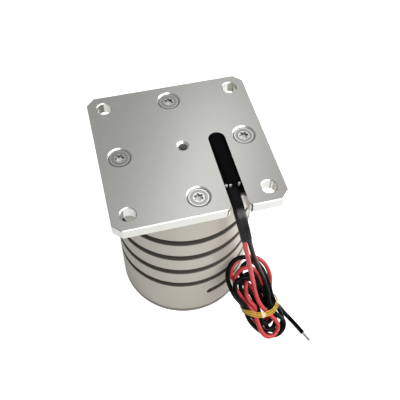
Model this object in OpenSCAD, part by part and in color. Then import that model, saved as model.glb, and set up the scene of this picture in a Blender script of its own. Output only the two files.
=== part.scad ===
// Voice coil motor with a machined helical spring tube.
// Millimetres, +Z up, origin at the centre of the underside.
// The square plate, coil and guide shaft move along Z; the tube, magnet and yoke stand still.

/* [Travel] */
// Stroke each way from the rest position
travel = 4; // [2:0.5:5]
// Gap left at each end stop at full stroke
stop_gap = 0.2; // [0.1:0.1:0.5]

/* [Top plate] */
// Side of the square plate
plate_w = 80; // [74:1:100]
// Thickness of the plate
plate_t = 6; // [5:0.5:10]
// Length cut off each side at a corner
plate_corner = 4; // [1:0.5:6]
// Chamfer along the plate's edges
plate_edge = 0.4; // [0.2:0.1:0.8]
// Diameter of the corner holes
plate_hole_d = 7; // [5:0.1:7.4]
// Distance of the corner holes from the plate's sides
plate_hole_inset = 8; // [6:0.5:9]
// Chamfer at the mouths of the corner holes
hole_chamfer = 0.4; // [0.2:0.1:0.8]
// Tapping bore of the centre hole
centre_tap_d = 4.2; // [3.3:0.1:5]
// Mouth of the centre hole
centre_mouth_d = 6; // [5.4:0.2:8]

/* [Plate screws] */
// Thread diameter of the plate screws
plate_screw_d = 5; // [4:0.5:5.5]
// Head diameter of the plate screws
plate_screw_head_d = 10.2; // [9:0.1:10.4]
// Length of the plate screws, head included
plate_screw_len = 14; // [10:1:16]
// Distance of the plate screws from the outside of the tube
plate_screw_inset = 6; // [5.5:0.5:7]
// Depth of the heads below the plate's face
plate_screw_sink = 0.6; // [0.2:0.1:1.6]

/* [Wire slot] */
// Width of the slot that the leads leave through
slot_w = 8.2; // [7.6:0.1:9]
// Distance of the slot's centre line from the plate's centre
slot_x = 16.7; // [16:0.1:17]
// Place of the centre of the slot's round inner end
slot_end_y = 0.4; // [-0.5:0.1:2]
// Rounding of the slot's mouth
slot_mouth_r = 2.5; // [0.5:0.1:3.5]
// Open length of the slot in front of the potting
slot_open = 13.5; // [12:0.5:16]

/* [Spring tube] */
// Outer diameter of the tube
tube_d = 72; // [66:0.5:78]
// Length of the tube
tube_h = 97; // [86:1:120]
// Wall of the tube along the spring
spring_wall = 3.5; // [2.5:0.1:3.7]
// Turns of the helical slot
helix_turns = 4.5; // [3:0.25:4.5]
// Height of the helical slot
helix_slot = 4; // [2:0.1:5]
// Height of the slot's lower end above the tube's end
helix_start = 17.6; // [16:0.1:20]
// Depth of the slot's upper end below the tube's end
helix_top = 15; // [14:0.1:20]
// Direction of the slot's lower end, from +X
helix_start_angle = -79; // [-180:1:180]
// Chamfer at the tube's ends
tube_edge = 0.5; // [0.2:0.1:1]

/* [Base plate] */
// Thickness of the base plate's rim
base_t = 3; // [2.5:0.5:6]
// Height of the boss that centres the tube and yoke
boss_h = 5; // [4:0.5:8]
// Circle of the tapped mounting holes in the underside
mount_pcd = 50; // [46:1:51]
// Tapping bore of the mounting holes
mount_tap_d = 4.2; // [3.3:0.1:5]
// Thread diameter of the screws into the tube
base_screw_d = 3; // [2.5:0.5:3.5]
// Head diameter of the screws into the tube
base_screw_head_d = 5.6; // [5:0.1:6]
// Length of the screws into the tube
base_screw_len = 10; // [8:1:14]
// Thread diameter of the screws into the yoke
yoke_screw_d = 4; // [3:0.5:5]
// Head diameter of the screws into the yoke
yoke_screw_head_d = 7.5; // [7:0.1:9]
// Length of the screws into the yoke
yoke_screw_len = 16; // [12:1:17]
// Circle on which the yoke screws stand
yoke_screw_pcd = 34; // [32:1:38]

/* [Field assembly] */
// Diameter of the ring magnet
magnet_d = 36; // [32:0.5:36.5]
// Bore of the ring magnet
magnet_bore_d = 14; // [12:0.5:18]
// Height of the ring magnet
magnet_h = 26; // [20:1:28]
// Diameter of the pole piece
pole_d = 37; // [34:0.5:37.5]
// Height of the pole piece
pole_h = 18; // [14:1:20]
// Wall of the yoke cup
yoke_wall = 5; // [3:0.1:5.4]
// Floor of the yoke cup
yoke_floor = 12; // [11:0.5:14]
// Gap between the yoke and the tube's lower collar
yoke_gap = 0.5; // [0.3:0.1:1]
// Running gap on each side of the coil
air_gap = 0.7; // [0.5:0.1:0.9]

/* [Coil] */
// Radial thickness of the winding
coil_t = 2.3; // [1.5:0.1:2.5]
// Wall of the coil former
former_wall = 0.8; // [0.6:0.1:1]
// Thickness of the former's flange
flange_t = 3; // [2:0.5:4]
// Height of the rims that hold the winding
rim_t = 2; // [1:0.5:3]
// Diameter of the hub under the flange
hub_d = 24; // [20:0.5:26]
// Height of the hub under the flange
hub_h = 10; // [6:1:12]
// Diameter of the winding's wire
tail_d = 0.9; // [0.6:0.1:1.2]

/* [Guide] */
// Diameter of the guide shaft
shaft_d = 8; // [6:0.5:9]
// Diameter of the shaft's upper part
shoulder_d = 14; // [12:0.5:16]
// Wall of the two bushes
bush_wall = 2; // [1.5:0.1:2.4]
// Length of the upper bush
upper_bush_len = 12; // [8:1:14]
// Length of the lower bush
lower_bush_len = 6; // [5:0.5:7]
// Running gap between shaft and bushes
shaft_gap = 0.05; // [0.02:0.01:0.1]
// Thickness of the rubber bump washer
bump_t = 2; // [1:0.5:4]
// Thickness of the stop ring on the shaft
ring_t = 1; // [0.8:0.1:1.5]

/* [Leads] */
// Diameter of each insulated lead
lead_d = 2.4; // [2:0.1:2.6]
// Wall of the shrunk sleeve
sleeve_wall = 0.25; // [0.2:0.05:0.4]
// Length of the hank
hank_len = 54; // [50:1:56]
// Width of the hank
hank_w = 20; // [16:1:22]
// Thickness of the hank
hank_t = 8.5; // [7:0.5:8.5]
// Width of the tie around the hank
tie_w = 3; // [2:0.5:5]
// Diameter of the bare strands
tip_d = 1.5; // [1:0.1:1.8]
// Length of the bare strands
tip_len = 6; // [4:0.5:8]

/* [Hidden] */
$fn = 96;

// Small fits used all over
eps = 0.01;
cut = 1;
fit_gap = 0.05;
thread_depth = 0.26;
screw_clear = 0.25;
head_sink = 0.2;
seat_gap = 0.2;
tap_spare = 1;
floor_gap = 0.1;

// Heights, from the underside up
tube_z = base_t;
plate_z = tube_z + tube_h;
top_z = plate_z + plate_t;
yoke_z = base_t + boss_h;
magnet_z = yoke_z + yoke_floor;
pole_z = magnet_z + magnet_h;
pole_top = pole_z + pole_h;
flange_z = plate_z - flange_t;

// Coil and field, from the axis out
tube_r = tube_d / 2;
plate_screw_r = tube_r - plate_screw_inset;
spring_r = tube_r - spring_wall;
former_in = pole_d / 2 + air_gap;
former_out = former_in + former_wall;
coil_r = former_out + coil_t;
yoke_in = coil_r + air_gap;
yoke_r = yoke_in + yoke_wall;
yoke_edge = 1;
collar_r = yoke_r + yoke_gap;
coil_h = pole_h + 2 * travel;
coil_z = pole_z + pole_h / 2 - coil_h / 2;
former_z = coil_z - rim_t;

// Guide
shaft_r = shaft_d / 2;
bush_in = shaft_r + shaft_gap;
bush_r = bush_in + bush_wall;
lower_bush_z = magnet_z - lower_bush_len;
ring_wide = 3;
ring_clear = 1;
ring_r = shaft_r + ring_wide;
ring_z = lower_bush_z - travel - stop_gap - ring_t;
relief_r = ring_r + ring_clear;
shaft_past = 1;
shaft_end = ring_z - shaft_past;
pocket_clear = 0.8;
pocket_z = shaft_end - travel - pocket_clear;
bump_over = 2;
bump_clear = 1;
bump_r = shoulder_d / 2 + bump_over;
shoulder_z = pole_top + bump_t + travel + stop_gap;
shaft_hole = 8;

// Helical slot and the thicker collars above and below it
helix_z0 = tube_z + helix_start;
helix_z1 = plate_z - helix_top;
helix_pitch = (helix_z1 - helix_z0) / helix_turns;
ledge = 1;
lower_ledge = helix_z0 - helix_slot / 2 - ledge;
upper_ledge = helix_z1 + helix_slot / 2 + ledge;
collar_land = 1.5;
collar_floor = 0.5;
plate_tap_z = max(top_z - plate_screw_sink - plate_screw_len - tap_spare, upper_ledge + collar_floor);
upper_collar_r = plate_screw_r - plate_screw_d / 2 - collar_land;
recess_over = 0.5;
recess_r = spring_r + recess_over;
helix_step = 12;
relief_over = 0.2;

// Underside screws
base_screw_r = (tube_r + collar_r) / 2;
screw_count = 4;
screw_turn = 45;

// Six-lobe sockets, as shares of the thread and of the socket
socket_wide = 0.9;
socket_deep = 0.35;
lobe_share = 0.15;
core_share = 0.72;

// Wire slot, potting and splices
slot_front = -plate_w / 2;
potting_front = slot_front + slot_open;
tail_side = 1.7;
tail_y = 1.2;
splice_z = top_z - plate_t / 2;
splice_wall = 0.3;
splice_d = lead_d + 2 * splice_wall;
splice_len = 8;
splice_y = -6;
tail_r = coil_r - coil_t / 2;
rim_top = coil_z + coil_h + rim_t;
tail_rise = 6;
tail_turn_z = rim_top + tail_rise;
window_w = 9;
window_rise = 2;
window_drop = 3;
window_z = rim_top + window_rise;
window_top = flange_z - window_drop;

// Sleeve: from the potting along the slot, over the edge and down, counted from the slot's mouth
sleeve_run = [
    [-0.5, slot_open, 0], [-0.5, 6, 0], [-0.6, 2.5, -0.2], [-0.6, 0, -1.2], [-0.3, -2, -3],
    [0.2, -3.4, -5.8], [1, -4.2, -9.5], [1.7, -4.4, -13], [2.2, -4.5, -15.5], [2.7, -4.55, -18]
];
sleeve_route = [for (p = sleeve_run) p + [slot_x, slot_front, splice_z]];
sleeve_end = sleeve_route[len(sleeve_route) - 1];
sleeve_deep = lead_d + 2 * sleeve_wall;
sleeve_wide = 2 * lead_d + 2 * sleeve_wall;
sleeve_sides = 12;

// Hank: leans on the tube with its lower end on the surface
hank_turn = 26;
hank_tilt = 50;
hank_side = 7.35;
hank_lean = 0.3;
hank_reach = tube_r + hank_len / 2 * cos(hank_tilt) + hank_t / 2 * sin(hank_tilt) - hank_lean;
hank_z = hank_len / 2 * sin(hank_tilt) + hank_t / 2 * cos(hank_tilt) + floor_gap;
hank_place = [
    hank_reach * sin(hank_turn) + hank_side * cos(hank_turn),
    hank_side * sin(hank_turn) - hank_reach * cos(hank_turn),
    hank_z
];
tie_along = -8;
tie_t = 0.5;

// Leads: from the sleeve's end down to the face of the hank, and along it
lead_sides = 8;
lead_fall = 2;
lead_run = unit(sleeve_end - sleeve_route[len(sleeve_route) - 2]);
lead_aside = across(lead_run) * lead_d / 2;
lead_shares = [0.15, 0.3, 0.45, 0.6, 0.75, 0.9];
black_sag = [-0.8, 0.8, 0];
red_land = [[-3.8, 0.2, 10.6], [-2.3, -3.6, 5.8], [-0.3, -6.1, 2], [0.8, -6.9, 0]];
black_land = [[3.1, 2.8, 9.8], [4.3, -2.3, 3.8], [5.6, -4.9, -0.6]];
red_route = drop_route(sleeve_end - lead_aside, red_land, [0, 0, 0]);
black_route = drop_route(sleeve_end + lead_aside, black_land, black_sag);

// Free ends: out of the hank and along the surface, counted from the point below the hank's centre
lay_z = lead_d / 2 + floor_gap;
hank_foot = [hank_place[0], hank_place[1], 0];
tail_red_run = [
    [9.5, -0.6, 10.2], [9.7, -1.7, 6.8], [9.9, -1, 4], [10.1, 1, 2], [10.4, 3.8, lay_z], [10.7, 8, lay_z],
    [10.9, 12.5, lay_z], [11, 17, lay_z]
];
tail_red_route = [for (p = tail_red_run) hank_foot + p];
tail_black_run = [
    [10.6, -1.3, 12.8], [12.6, -1.3, 9], [14.5, -2, 5], [16.4, -3.7, 2.4], [18.4, -7.2, lay_z],
    [20.6, -11.8, lay_z], [22.8, -17.4, lay_z]
];
tail_black_route = [for (p = tail_black_run) hank_foot + p];

function drop_route(from, land, sag) =
    let (to = hank_place + land[0])
    concat(
        [from, from + lead_run * lead_fall],
        [for (k = lead_shares) from + (to - from) * k + sag * sin(180 * k)],
        [for (p = land) hank_place + p]
    );
function unit(v) = v / norm(v);
function heading(route, i) =
    let (last = len(route) - 1)
    i == 0 ? unit(route[1] - route[0]) :
    i == last ? unit(route[last] - route[last - 1]) :
    unit(unit(route[i + 1] - route[i]) + unit(route[i] - route[i - 1]));
function across(t) = unit([1, 0, 0] - t * t[0]);
function ring(p, t, wide, deep, sides) =
    let (s = across(t), u = cross(t, s))
    [for (k = [0 : sides - 1])
        let (a = 360 * (k + 0.5) / sides)
        p + s * cos(a) * wide / 2 + u * sin(a) * deep / 2];

// Oval tube along a route, one ring of points at each point of the route
module sweep(route, wide, deep, sides) {
    rings = len(route);
    points = [for (i = [0 : rings - 1]) each ring(route[i], heading(route, i), wide, deep, sides)];
    walls = [for (i = [0 : rings - 2], k = [0 : sides - 1])
        let (a = i * sides + k, b = i * sides + (k + 1) % sides)
        each [[a, b, b + sides], [a, b + sides, a + sides]]];
    first = [[for (k = [sides - 1 : -1 : 0]) k]];
    last = [[for (k = [0 : sides - 1]) (rings - 1) * sides + k]];
    polyhedron(points, concat(walls, first, last), convexity = 6);
}

// Band that follows the helical slot, wider than the wall both ways
module helix_cutter() {
    steps = round(helix_turns * 360 / helix_step);
    inner = spring_r - cut;
    outer = tube_r + cut;
    points = [for (i = [0 : steps])
        let (a = helix_start_angle + i * helix_step, z = helix_z0 + helix_pitch * i * helix_step / 360)
        each [for (c = [[inner, -1], [outer, -1], [outer, 1], [inner, 1]])
            [c[0] * cos(a), c[0] * sin(a), z + c[1] * helix_slot / 2]]];
    walls = [for (i = [0 : steps - 1], k = [0 : 3])
        let (a = i * 4 + k, b = i * 4 + (k + 1) % 4)
        each [[a, b, b + 4], [a, b + 4, a + 4]]];
    polyhedron(points, concat(walls, [[3, 2, 1, 0]], [[for (k = [0 : 3]) steps * 4 + k]]), convexity = 20);
}

// Relief hole drilled at an end of the helical slot
module helix_end(angle, z) {
    rotate([0, 0, angle])
        translate([spring_r - cut, 0, z])
            rotate([0, 90, 0])
                cylinder(h = spring_wall + 2 * cut, d = helix_slot + 2 * relief_over);
}

// Copies on a circle
module on_circle(radius, count, turn) {
    for (i = [0 : count - 1])
        rotate([0, 0, turn + i * 360 / count])
            translate([radius, 0, 0])
                children();
}

// Ring between two radii
module hoop(inner, outer, height) {
    difference() {
        cylinder(h = height, r = outer);
        translate([0, 0, -cut])
            cylinder(h = height + 2 * cut, r = inner);
    }
}

// Countersunk screw: head up at z = 0, threaded body below
module countersunk_screw(d, head_d, length) {
    cone = (head_d - d) / 2;
    core = d / 2 - thread_depth;
    difference() {
        union() {
            translate([0, 0, -cone])
                cylinder(h = cone, r1 = d / 2, r2 = head_d / 2);
            translate([0, 0, -length])
                cylinder(h = length - cone + eps, r = core);
        }
        star_socket(d * socket_wide, d * socket_deep);
    }
}

// Six-lobe drive socket sunk into z = 0
module star_socket(across_lobes, depth) {
    lobe = across_lobes * lobe_share;
    translate([0, 0, -depth])
        linear_extrude(depth + cut) {
            circle(d = across_lobes * core_share);
            for (i = [0 : 5])
                rotate(i * 60)
                    translate([across_lobes / 2 - lobe, 0])
                        circle(r = lobe);
        }
}

// Countersink and through hole for a screw whose head top lies at z = -sink
module countersink(d, head_d, sink, depth) {
    hole = d / 2 + screw_clear;
    mouth = head_d / 2 + sink + fit_gap;
    translate([0, 0, hole - mouth])
        cylinder(h = mouth - hole + eps, r1 = hole, r2 = mouth + eps);
    translate([0, 0, -depth - cut])
        cylinder(h = depth + cut, r = hole);
    cylinder(h = cut, r = mouth);
}

// Chamfered mouth of a hole, its wide end at z = 0
module hole_mouth(bore_d, mouth_d) {
    depth = (mouth_d - bore_d) / 2;
    translate([0, 0, -depth])
        cylinder(h = depth + eps, d1 = bore_d, d2 = mouth_d + 2 * eps);
}

// Round-ended outline of the wire slot, open at the plate's front
module slot_outline(front) {
    translate([slot_x, slot_end_y])
        circle(d = slot_w);
    translate([slot_x - slot_w / 2, front])
        square([slot_w, slot_end_y - front]);
}

// Corner of the slot's mouth that is rounded away
module mouth_corner(side) {
    translate([slot_x + side * slot_w / 2, slot_front])
        difference() {
            translate([side > 0 ? -eps : -slot_mouth_r, -cut])
                square([slot_mouth_r + eps, slot_mouth_r + cut]);
            translate([side * slot_mouth_r, slot_mouth_r])
                circle(r = slot_mouth_r);
        }
}

// Square plate with cut corners and chamfered edges
module plate_blank() {
    half = plate_w / 2;
    corner_reach = (plate_w - plate_corner) / sqrt(2);
    difference() {
        translate([-half, -half, plate_z])
            cube([plate_w, plate_w, plate_t]);
        for (i = [0 : 3])
            rotate([0, 0, 45 + 90 * i])
                translate([corner_reach, -half, plate_z - cut])
                    cube([half, plate_w, plate_t + 2 * cut]);
        for (i = [0 : 7], z = [plate_z, top_z])
            rotate([0, 0, 45 * i])
                translate([i % 2 == 0 ? half : corner_reach, 0, z])
                    rotate([0, 45, 0])
                        cube([plate_edge * sqrt(2), plate_w + 2 * cut, plate_edge * sqrt(2)], center = true);
    }
}

module top_plate() {
    color("silver")
        difference() {
            plate_blank();
            translate([0, 0, plate_z - cut])
                linear_extrude(plate_t + 2 * cut) {
                    slot_outline(slot_front - cut);
                    mouth_corner(1);
                    mouth_corner(-1);
                }
            for (x = [-1, 1], y = [-1, 1])
                translate([x, y, 0] * (plate_w / 2 - plate_hole_inset)) {
                    translate([0, 0, plate_z - cut])
                        cylinder(h = plate_t + 2 * cut, d = plate_hole_d);
                    translate([0, 0, top_z])
                        hole_mouth(plate_hole_d, plate_hole_d + 2 * hole_chamfer);
                }
            translate([0, 0, top_z])
                on_circle(plate_screw_r, screw_count, 0)
                    countersink(plate_screw_d, plate_screw_head_d, plate_screw_sink, plate_t);
            translate([0, 0, plate_z - cut])
                cylinder(h = plate_t + 2 * cut, d = centre_tap_d);
            translate([0, 0, top_z])
                hole_mouth(centre_tap_d, centre_mouth_d);
        }
}

module plate_screws() {
    color("gainsboro")
        translate([0, 0, top_z - plate_screw_sink])
            on_circle(plate_screw_r, screw_count, 0)
                countersunk_screw(plate_screw_d, plate_screw_head_d, plate_screw_len);
}

module spring_tube() {
    color("darkkhaki")
        difference() {
            rotate_extrude()
                polygon([
                    [collar_r, tube_z], [tube_r - tube_edge, tube_z], [tube_r, tube_z + tube_edge],
                    [tube_r, plate_z - tube_edge], [tube_r - tube_edge, plate_z], [recess_r, plate_z],
                    [recess_r, flange_z], [upper_collar_r, flange_z], [upper_collar_r, upper_ledge],
                    [spring_r, upper_ledge], [spring_r, lower_ledge], [collar_r, lower_ledge]
                ]);
            helix_cutter();
            helix_end(helix_start_angle, helix_z0);
            helix_end(helix_start_angle + 360 * helix_turns, helix_z1);
            translate([0, 0, plate_tap_z])
                on_circle(plate_screw_r, screw_count, 0)
                    cylinder(h = flange_z - plate_tap_z + cut, d = plate_screw_d);
            translate([0, 0, tube_z - cut])
                on_circle(base_screw_r, screw_count, screw_turn)
                    cylinder(h = base_screw_len - base_t + cut + tap_spare, d = base_screw_d);
        }
}

module base_plate() {
    color("dimgray")
        difference() {
            union() {
                rotate_extrude()
                    polygon([
                        [0, 0], [tube_r - tube_edge, 0], [tube_r, tube_edge], [tube_r, base_t], [0, base_t]
                    ]);
                cylinder(h = base_t + boss_h, r = collar_r - fit_gap);
            }
            translate([0, 0, pocket_z])
                cylinder(h = yoke_z, r = relief_r);
            translate([0, 0, -cut])
                on_circle(mount_pcd / 2, screw_count, 0)
                    cylinder(h = yoke_z + 2 * cut, d = mount_tap_d);
            mirror([0, 0, 1]) {
                on_circle(base_screw_r, screw_count, screw_turn)
                    countersink(base_screw_d, base_screw_head_d, head_sink, base_t);
                on_circle(yoke_screw_pcd / 2, screw_count, screw_turn)
                    countersink(yoke_screw_d, yoke_screw_head_d, head_sink, yoke_z);
            }
        }
}

module base_screws() {
    color("silver")
        translate([0, 0, head_sink])
            mirror([0, 0, 1])
                on_circle(base_screw_r, screw_count, screw_turn)
                    countersunk_screw(base_screw_d, base_screw_head_d, base_screw_len);
}

module yoke_screws() {
    color("silver")
        translate([0, 0, head_sink])
            mirror([0, 0, 1])
                on_circle(yoke_screw_pcd / 2, screw_count, screw_turn)
                    countersunk_screw(yoke_screw_d, yoke_screw_head_d, yoke_screw_len);
}

module yoke_cup() {
    color("slategray")
        difference() {
            rotate_extrude()
                polygon([
                    [relief_r, yoke_z], [yoke_r - yoke_edge, yoke_z], [yoke_r, yoke_z + yoke_edge],
                    [yoke_r, pole_top - yoke_edge], [yoke_r - yoke_edge, pole_top], [yoke_in, pole_top],
                    [yoke_in, magnet_z], [bush_r, magnet_z], [bush_r, lower_bush_z], [relief_r, lower_bush_z]
                ]);
            translate([0, 0, yoke_z - cut])
                on_circle(yoke_screw_pcd / 2, screw_count, screw_turn)
                    cylinder(h = yoke_screw_len - yoke_z + cut + tap_spare, d = yoke_screw_d);
        }
}

module magnet_ring() {
    color("lightgray")
        translate([0, 0, magnet_z])
            hoop(magnet_bore_d / 2, magnet_d / 2, magnet_h);
}

module pole_piece() {
    color("slategray")
        translate([0, 0, pole_z])
            hoop(bush_r, pole_d / 2, pole_h);
}

module lower_bush() {
    color("peru")
        translate([0, 0, lower_bush_z])
            hoop(bush_in, bush_r, lower_bush_len);
}

module upper_bush() {
    color("peru")
        translate([0, 0, pole_top - upper_bush_len])
            hoop(bush_in, bush_r, upper_bush_len);
}

module bump_washer() {
    color("black")
        translate([0, 0, pole_top])
            hoop(shaft_r + bump_clear, bump_r, bump_t);
}

module coil_former() {
    color("gray")
        difference() {
            rotate_extrude()
                polygon([
                    [former_in, former_z], [coil_r, former_z], [coil_r, coil_z], [former_out, coil_z],
                    [former_out, coil_z + coil_h], [coil_r, coil_z + coil_h], [coil_r, rim_top],
                    [former_out, rim_top], [former_out, flange_z], [recess_r - seat_gap, flange_z],
                    [recess_r - seat_gap, plate_z], [shoulder_d / 2, plate_z],
                    [shoulder_d / 2, flange_z - hub_h], [hub_d / 2, flange_z - hub_h],
                    [hub_d / 2, flange_z], [former_in, flange_z]
                ]);
            translate([0, 0, flange_z - cut])
                on_circle(plate_screw_r, screw_count, 0)
                    cylinder(h = flange_t + 2 * cut, r = plate_screw_d / 2 + screw_clear);
            for (side = [-1, 1])
                translate([slot_x + side * tail_side, -side * tail_y, flange_z - cut])
                    cylinder(h = flange_t + 2 * cut, r = tail_d / 2 + fit_gap);
            for (i = [0 : 3])
                rotate([0, 0, 90 * i])
                    translate([former_in - cut, -window_w / 2, window_z])
                        cube([former_wall + 2 * cut, window_w, window_top - window_z]);
            translate([former_out, -window_w / 2, coil_z + coil_h])
                cube([coil_t + cut, window_w, rim_t + cut]);
        }
}

module coil_winding() {
    color("sienna")
        translate([0, 0, coil_z])
            hoop(former_out, coil_r, coil_h);
}

// One end of the winding: up past the rim, in through a window, up through the flange and to its splice
module coil_tail(side) {
    y = -side * tail_y;
    x = slot_x + side * tail_side;
    translate([tail_r, y, coil_z + coil_h])
        cylinder(h = tail_turn_z - coil_z - coil_h, d = tail_d);
    translate([x, y, tail_turn_z])
        rotate([0, 90, 0])
            cylinder(h = tail_r - x, d = tail_d);
    translate([x, y, tail_turn_z])
        cylinder(h = splice_z - tail_turn_z, d = tail_d);
    translate([x, y, splice_z])
        rotate([90, 0, 0])
            cylinder(h = y - splice_y, d = tail_d);
    for (p = [[tail_r, y, tail_turn_z], [x, y, tail_turn_z], [x, y, splice_z]])
        translate(p)
            sphere(d = tail_d);
}

module coil_tails() {
    color("sienna")
        for (side = [-1, 1])
            coil_tail(side);
}

module guide_shaft() {
    color("lightsteelblue")
        difference() {
            union() {
                translate([0, 0, shaft_end])
                    cylinder(h = shoulder_z - shaft_end + eps, r = shaft_r);
                translate([0, 0, shoulder_z])
                    cylinder(h = plate_z - shoulder_z, d = shoulder_d);
            }
            translate([0, 0, plate_z - shaft_hole])
                cylinder(h = shaft_hole + cut, d = centre_tap_d);
        }
}

module stop_ring() {
    color("dimgray")
        translate([0, 0, ring_z])
            difference() {
                hoop(shaft_r, ring_r, ring_t);
                translate([0, -shaft_r / 2, -cut])
                    cube([ring_r + cut, shaft_r, ring_t + 2 * cut]);
            }
}

// Crimped joint and the stub of lead that runs on to the sleeve, or past it where it is a cutter
module lead_splice(side, past) {
    translate([slot_x + side * tail_side, splice_y, splice_z])
        rotate([90, 0, 0])
            cylinder(h = splice_len, d = splice_d);
    translate([slot_x + side * tail_side, splice_y - splice_len, splice_z])
        rotate([90, 0, 0])
            cylinder(h = splice_y - splice_len - potting_front + past, d = lead_d);
}

module lead_splices() {
    color("gold")
        for (side = [-1, 1])
            lead_splice(side, 0);
}

module potting() {
    color("black")
        difference() {
            translate([0, 0, plate_z])
                linear_extrude(plate_t)
                    slot_outline(potting_front);
            for (side = [-1, 1]) {
                lead_splice(side, cut);
                coil_tail(side);
            }
        }
}

module shrink_sleeve() {
    color("black")
        sweep(sleeve_route, sleeve_wide, sleeve_deep, sleeve_sides);
}

module lead_red() {
    color("red")
        sweep(red_route, lead_d, lead_d, lead_sides);
}

module lead_black() {
    color("black")
        sweep(black_route, lead_d, lead_d, lead_sides);
}

// Puts a child that lies flat at the origin where the hank leans
module at_hank() {
    translate(hank_place)
        rotate([0, 0, hank_turn])
            rotate([hank_tilt, 0, 0])
                children();
}

module lead_hank() {
    straight = hank_len - hank_w;
    color("firebrick")
        at_hank()
            translate([0, 0, -hank_t / 2])
                linear_extrude(hank_t) {
                    square([hank_w, straight], center = true);
                    for (end = [-1, 1])
                        translate([0, end * straight / 2])
                            circle(d = hank_w);
                }
}

module hank_tie() {
    color("goldenrod")
        at_hank()
            translate([0, tie_along, 0])
                rotate([90, 0, 0])
                    linear_extrude(tie_w, center = true)
                        difference() {
                            square([hank_w + 2 * tie_t, hank_t + 2 * tie_t], center = true);
                            square([hank_w, hank_t], center = true);
                        }
}

module tail_red() {
    color("red")
        sweep(tail_red_route, lead_d, lead_d, lead_sides);
}

module tail_black() {
    color("black")
        sweep(tail_black_route, lead_d, lead_d, lead_sides);
}

// Bare strands that stand out of the end of a tail
module bare_tip(route) {
    last = len(route) - 1;
    run = heading(route, last);
    color("lightgray")
        translate(route[last])
            rotate([0, acos(run[2]), atan2(run[1], run[0])])
                cylinder(h = tip_len, d = tip_d);
}

module tip_red() {
    bare_tip(tail_red_route);
}

module tip_black() {
    bare_tip(tail_black_route);
}

top_plate();
plate_screws();
spring_tube();
base_plate();
base_screws();
yoke_screws();
yoke_cup();
magnet_ring();
pole_piece();
lower_bush();
upper_bush();
bump_washer();
coil_former();
coil_winding();
coil_tails();
guide_shaft();
stop_ring();
lead_splices();
potting();
shrink_sleeve();
lead_red();
lead_black();
lead_hank();
hank_tie();
tail_red();
tail_black();
tip_red();
tip_black();
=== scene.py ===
"""Looks of a voice coil motor: spring tube, potting, sleeve, leads and tie, and the finishes of all."""

import math

import bmesh
import bpy
import numpy as np
from mathutils import Matrix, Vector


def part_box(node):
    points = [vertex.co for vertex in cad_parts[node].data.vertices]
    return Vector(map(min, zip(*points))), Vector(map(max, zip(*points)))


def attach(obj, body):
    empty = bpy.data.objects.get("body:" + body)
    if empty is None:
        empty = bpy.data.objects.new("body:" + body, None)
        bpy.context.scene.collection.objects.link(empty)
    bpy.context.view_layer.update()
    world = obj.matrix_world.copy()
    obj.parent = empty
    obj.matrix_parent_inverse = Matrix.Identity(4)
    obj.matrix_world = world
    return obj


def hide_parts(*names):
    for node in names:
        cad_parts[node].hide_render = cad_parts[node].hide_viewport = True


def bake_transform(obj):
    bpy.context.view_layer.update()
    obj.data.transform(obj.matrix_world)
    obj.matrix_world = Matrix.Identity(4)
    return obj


bl_info = {
    "name": "Voice coil motor",
    "version": (1, 0, 0),
    "blender": (4, 5, 0),
    "location": "View3D > Sidebar > Motor",
    "description": "Dresses the packed voice coil motor with its spring tube, leads, potting and finishes",
    "category": "Object",
}

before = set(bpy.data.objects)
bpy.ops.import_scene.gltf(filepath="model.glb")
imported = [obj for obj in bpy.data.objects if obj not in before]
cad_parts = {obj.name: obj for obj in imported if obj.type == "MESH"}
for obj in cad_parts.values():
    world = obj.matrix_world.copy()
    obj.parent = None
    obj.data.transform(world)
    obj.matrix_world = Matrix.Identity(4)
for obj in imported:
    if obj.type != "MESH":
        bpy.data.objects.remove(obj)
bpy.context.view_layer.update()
TUBE_LOW, TUBE_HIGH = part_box("spring_tube")
PLATE_LOW, PLATE_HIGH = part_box("top_plate")
MM = 0.001
TURN = 2 * math.pi

# Camera of the photograph: its place in millimetres, its directions ahead, right and up, lens and sensor
EYE_PLACE = np.array([-41.07, -173.16, 316.49])
EYE_AHEAD = np.array([0.16007, 0.54992, -0.81974])
EYE_RIGHT = np.array([0.96764, -0.25152, 0.02022])
EYE_UP = np.array([0.19506, 0.79645, 0.57238])
EYE_LENS, EYE_SENSOR = 52.68, 36
# Lights, turned to one aim: name, place, direction of the length, width, length and power
LIGHT_AIM = np.array([0, 0, 0.05])
LIGHTS = (
    ("Key_light", (0.3, -0.6, 0.9), (0, 1, 0), 1.0, 1.0, 8.5),
    ("Side_light", (0.75, -0.2, 0.36), (0, 1, 0), 0.5, 0.5, 4.6),
    ("Strip_light", (0.155, 0.495, 1.0), (1, 2.2, 0), 0.14, 0.6, 0.32),
)
# Sky: how its fade is turned, and the tones at both ends of the fade
SKY_TURN = (0, math.radians(-32.5), math.radians(49))
SKY_TONES = (0.34, 1)
# Floor: half its side and its depth under the motor in millimetres, and its glow for the camera
FLOOR_HALF, FLOOR_DEPTH, FLOOR_GLOW = 3000, 0.1, 0.75

# Spans of an effect's tone, and of the upward share of a normal between upright and level faces
TONE_SPAN = (0.3, 0.7)
LEVEL_SPAN = (0.3, 0.6)
# Painted light on a screw head as tones at shares of its radius: a painted highlight ring near the rim, and
# painted shade in a thin ring round the socket and at the rim's edge. Then the tones at its middle, a
# painted highlight on the socket's floor, and beyond its rim, painted shade
HEAD_LIGHT_TONES = ((0.5, 0.8), (0.58, 0.35), (0.64, 0.5), (0.8, 0.5), (0.84, 0.85), (0.9, 0.85), (0.94, 0.1))
HEAD_LIGHT_ENDS = (0.8, 0.1)

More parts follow.
